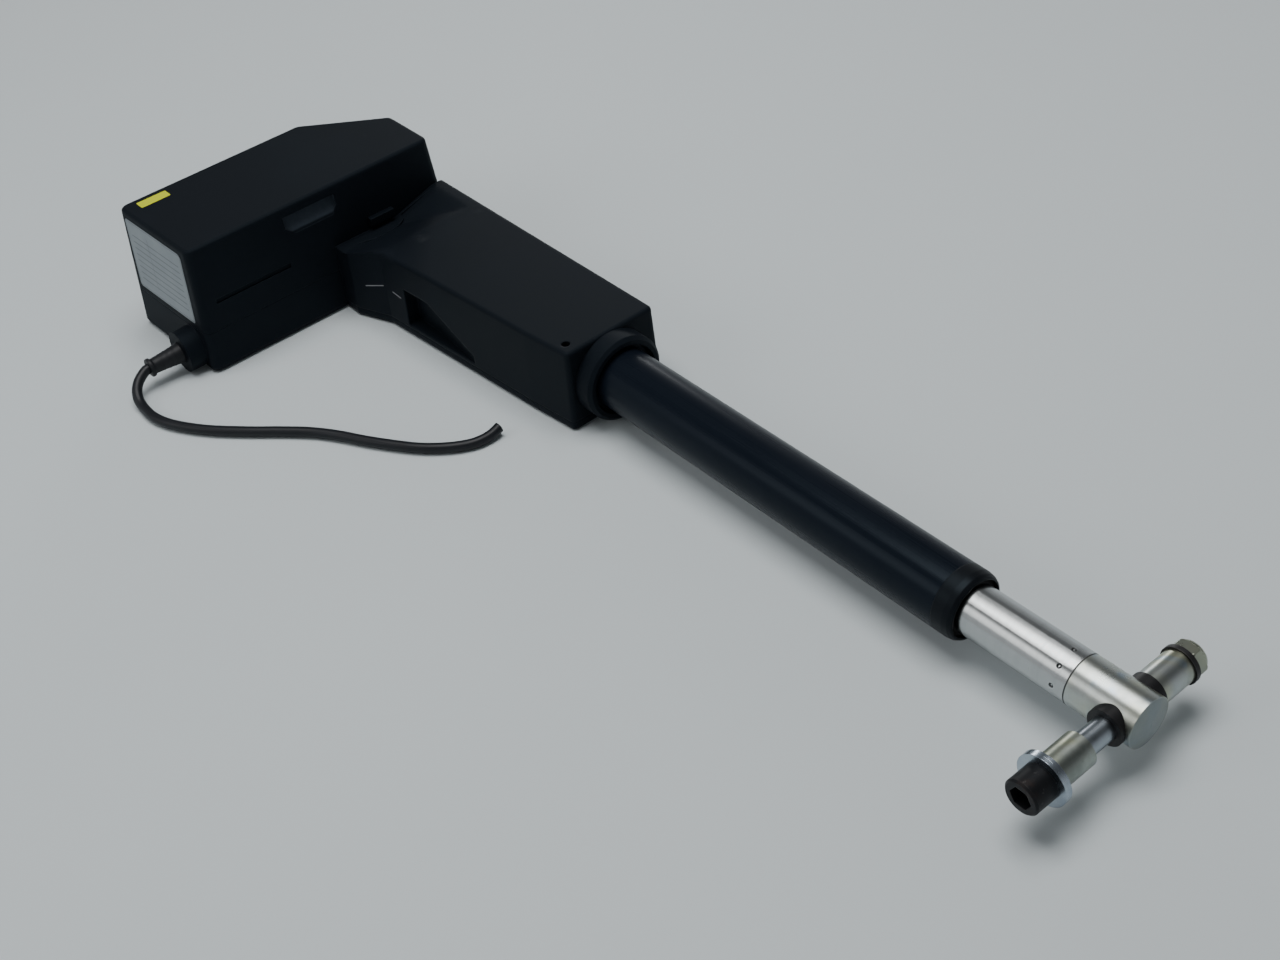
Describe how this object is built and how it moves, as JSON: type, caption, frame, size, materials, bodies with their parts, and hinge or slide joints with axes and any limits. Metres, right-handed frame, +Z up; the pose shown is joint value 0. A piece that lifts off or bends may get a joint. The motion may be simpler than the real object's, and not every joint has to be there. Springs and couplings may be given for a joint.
{
  "type": "electric linear actuator",
  "caption": "Electric lifting column: worm-geared motor case, moulded arm, outer tube, sliding steel push rod with a cross bolt at its head, rear mounting lug and a cut supply cord.",
  "frame": {"origin": "middle of the footprint without the cord, on the surface that the motor case rests on", "axes": "+X along the spindle from the rear lug to the rod head, +Y across it away from the cord end of the motor case, +Z up"},
  "size_m": [0.676, 0.2436, 0.082],
  "materials": {
    "case_plastic": "fine moulded grain, satin black",
    "tube_black": "semi-gloss black coating",
    "cap_plastic": "smooth black moulding",
    "seal_rubber": "matt black",
    "rod_steel": "fine circumferential brushing",
    "zinc": "zinc plate, lightly yellow passivated",
    "black_oxide": "black oxide",
    "bush_plastic": "black bearing plastic",
    "bare_steel": "ground",
    "gear_alloy": "die cast",
    "gear_plastic": "natural nylon",
    "bronze": "sintered",
    "motor_steel": "plated deep-drawn steel",
    "ferrite": "ceramic magnet",
    "dark_plastic": "phenolic brown-black",
    "winding": "enamelled copper and steel laminations",
    "copper": "turned copper",
    "board_green": "solder mask",
    "cord_rubber": "smooth dark grey sheath"
  },
  "bodies": {
    "root": {"lower_case": "case_plastic", "upper_case": "case_plastic", "arm_bottom_shell": "case_plastic", "arm_top_shell": "case_plastic", "case_clip": "case_plastic", "case_screws": "zinc", "arm_screws": "zinc", "collar_ring": "case_plastic", "outer_tube": "tube_black", "tube_end_cap": "cap_plastic", "wiper_seal": "seal_rubber", "guide_bush": "gear_plastic", "rear_lug": "zinc", "gear_case": "gear_alloy", "gear_cover": "gear_alloy", "spindle_bearings": "bare_steel", "worm_bushes": "bronze", "motor_can": "motor_steel", "motor_magnets": "ferrite", "motor_end_bell": "dark_plastic", "brush_holder": "dark_plastic", "limit_switch_board": "board_green", "limit_switches": "dark_plastic", "strain_relief": "cord_rubber", "cord": "cord_rubber"},
    "rotor": {"motor_shaft": "bare_steel", "rotor_core": "winding", "commutator": "copper", "worm": "bare_steel"},
    "spindle": {"spindle": "bare_steel", "worm_wheel": "gear_plastic", "wheel_lock_ring": "bare_steel", "spindle_end_ring": "gear_plastic"},
    "rod": {"push_rod": "rod_steel", "drive_nut": "gear_plastic", "rod_head": "zinc", "head_bushes": "bush_plastic"},
    "cross_bolt": {"cross_bolt": "black_oxide", "near_washers": "zinc", "far_spacer": "zinc", "far_washer": "black_oxide", "hex_nut": "zinc"},
    "near_sleeve": {"near_sleeve": "zinc"}
  },
  "joints": [
    {"name": "rotor_spin", "type": "hinge", "parent": "root", "child": "rotor", "pos_m": [-0.2585, 0.05453, 0.05], "axis": [0, 1, 0], "range_deg": [-32399, 169199]},
    {"name": "spindle_spin", "type": "hinge", "parent": "root", "child": "spindle", "pos_m": [-0.2245, 0.05453, 0.026], "axis": [1, 0, 0], "range_deg": [-1351, 7051]},
    {"name": "rod_slide", "type": "slide", "parent": "root", "child": "rod", "axis": [1, 0, 0], "range_m": [-0.045, 0.235]},
    {"name": "cross_bolt_spin", "type": "hinge", "parent": "rod", "child": "cross_bolt", "pos_m": [0.325, 0.05453, 0.026], "axis": [0, 1, 0], "continuous": true},
    {"name": "near_sleeve_slide", "type": "slide", "parent": "cross_bolt", "child": "near_sleeve", "axis": [0, 1, 0], "range_m": [0, 0.0154]}
  ],
  "couplings": [
    {"joint": "spindle_spin", "follows": "rotor_spin", "ratio": 0.041667},
    {"joint": "rod_slide", "follows": "rotor_spin", "m_per_rad": 0.000079577}
  ]
}
